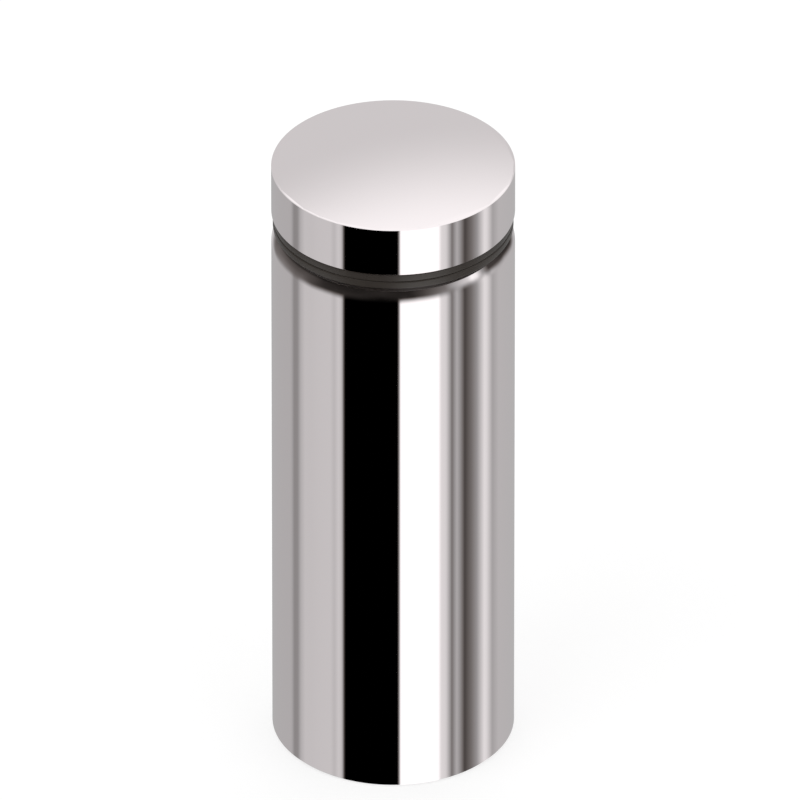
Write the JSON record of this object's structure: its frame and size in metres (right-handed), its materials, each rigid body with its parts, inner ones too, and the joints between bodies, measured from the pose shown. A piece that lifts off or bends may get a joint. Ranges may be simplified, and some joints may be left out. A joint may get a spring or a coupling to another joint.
{
  "type": "glass panel standoff",
  "caption": "Round mirror-polished steel standoff with a screw-on disc cap that clamps a drilled glass panel between rubber gaskets.",
  "frame": {"origin": "centre of the barrel's rear face, the face that goes against the wall and that the part stands on", "axes": "+Z along the barrel's axis, from the rear face towards the cap; X and Y are any two directions across it"},
  "size_m": [0.0318, 0.0318, 0.0865],
  "materials": {
    "polished_steel": "mirror polished stainless steel",
    "rubber": "smooth black rubber",
    "plain_steel": "plain turned stainless steel"
  },
  "bodies": {
    "barrel": {"barrel": "polished_steel", "barrel_gasket": "rubber"},
    "ring": {"cap_gasket": "rubber"},
    "cap": {"cap": "polished_steel", "stud": "plain_steel"}
  },
  "joints": [
    {"name": "cap_rise", "type": "slide", "parent": "barrel", "child": "ring", "axis": [0, 0, 1], "range_m": [0, 0.02223]},
    {"name": "cap_turn", "type": "hinge", "parent": "ring", "child": "cap", "pos_m": [0, 0, 0.07945], "axis": [0, 0, 1], "range_deg": [0, 5040]}
  ],
  "couplings": [
    {"joint": "cap_rise", "follows": "cap_turn", "m_per_rad": 0.00025266}
  ]
}
